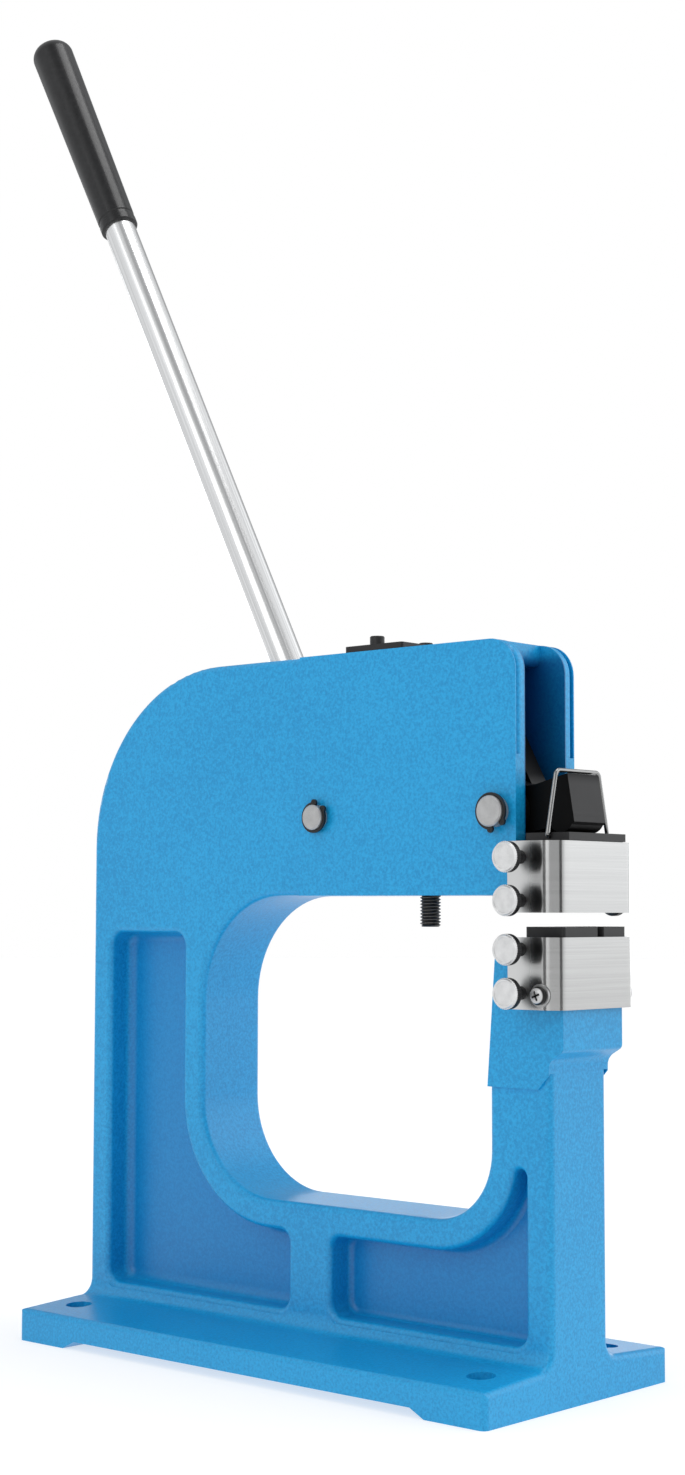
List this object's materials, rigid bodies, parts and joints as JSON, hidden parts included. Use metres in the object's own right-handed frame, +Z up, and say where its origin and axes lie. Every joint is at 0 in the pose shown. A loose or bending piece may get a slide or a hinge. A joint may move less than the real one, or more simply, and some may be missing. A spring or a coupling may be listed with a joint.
{
  "type": "shrinker stretcher",
  "caption": "Bench shrinker and stretcher: cast C-frame on a bolted base, long hand lever, drag link and press lever that close two sets of sliding split dies.",
  "frame": {"origin": "middle of the four base bolt holes, on the plane of the feet", "axes": "+X towards the jaws, +Z up, +Y to the tool's left seen from behind the handle"},
  "size_m": [0.385, 0.136, 0.7085],
  "materials": {
    "blue_paint": "gloss paint over a cast surface",
    "black_steel": "black oxide",
    "brushed_steel": "brushed",
    "bright_steel": "turned, bright",
    "polished_tube": "polished",
    "black_grip": "glossy moulded sleeve"
  },
  "bodies": {
    "frame": {"frame_casting": "blue_paint", "bridge_plate": "black_steel", "bridge_screws": "black_steel", "stop_screw": "black_steel", "rear_pivot_pin": "bright_steel", "front_pivot_pin": "bright_steel", "rear_rings": "black_steel", "front_rings": "black_steel", "rear_spacers": "bright_steel", "front_spacers": "bright_steel", "lower_jaw_cover": "brushed_steel", "lower_thumb_screws": "bright_steel", "cover_screws": "bright_steel", "cover_washers": "bright_steel", "cover_spacers": "bright_steel", "lower_die_spring": "bright_steel"},
    "handle": {"handle_hub": "black_steel", "handle_tube": "polished_tube", "handle_grip": "black_grip", "hub_link_pin": "bright_steel", "hub_pin_rings": "black_steel"},
    "drag_link": {"link_plates": "black_steel"},
    "rocker": {"press_lever": "black_steel", "lever_link_pin": "bright_steel", "lever_pin_rings": "black_steel"},
    "upper_jaw": {"upper_jaw_block": "black_steel", "wire_bail": "black_steel", "upper_jaw_cover": "brushed_steel", "upper_thumb_screws": "bright_steel", "upper_die_spring": "bright_steel"},
    "upper_near": {"upper_die_near": "black_steel"},
    "upper_far": {"upper_die_far": "black_steel"},
    "lower_near": {"lower_die_near": "black_steel"},
    "lower_far": {"lower_die_far": "black_steel"}
  },
  "joints": [
    {"name": "handle_swing", "type": "hinge", "parent": "frame", "child": "handle", "pos_m": [0.012, 0, 0.2604], "axis": [0, 1, 0], "range_deg": [0, 28]},
    {"name": "link_swing", "type": "hinge", "parent": "handle", "child": "drag_link", "pos_m": [0.00198, 0, 0.27771], "axis": [0, 1, 0], "range_deg": [-28, 0]},
    {"name": "rocker_turn", "type": "hinge", "parent": "frame", "child": "rocker", "pos_m": [0.1204, 0, 0.2604], "axis": [0, 1, 0], "range_deg": [0, 11.2]},
    {"name": "jaw_press", "type": "slide", "parent": "frame", "child": "upper_jaw", "axis": [0, 0, -1], "range_m": [0, 0.0054]},
    {"name": "lower_near_slide", "type": "slide", "parent": "frame", "child": "lower_near", "axis": [0, 1, 0], "range_m": [0, 0.002], "stiffness_N_per_m": 1500, "springref_m": -0.002},
    {"name": "lower_far_slide", "type": "slide", "parent": "frame", "child": "lower_far", "axis": [0, -1, 0], "range_m": [0, 0.002]},
    {"name": "upper_near_slide", "type": "slide", "parent": "upper_jaw", "child": "upper_near", "axis": [0, 1, 0], "range_m": [0, 0.002]},
    {"name": "upper_far_slide", "type": "slide", "parent": "upper_jaw", "child": "upper_far", "axis": [0, -1, 0], "range_m": [0, 0.002]}
  ],
  "couplings": [
    {"joint": "link_swing", "follows": "handle_swing", "ratio": -0.99529},
    {"joint": "rocker_turn", "follows": "handle_swing", "ratio": 0.3973},
    {"joint": "jaw_press", "follows": "handle_swing", "m_per_rad": 0.01099},
    {"joint": "lower_far_slide", "follows": "lower_near_slide", "ratio": 1},
    {"joint": "upper_near_slide", "follows": "lower_near_slide", "ratio": 1},
    {"joint": "upper_far_slide", "follows": "lower_near_slide", "ratio": 1}
  ]
}
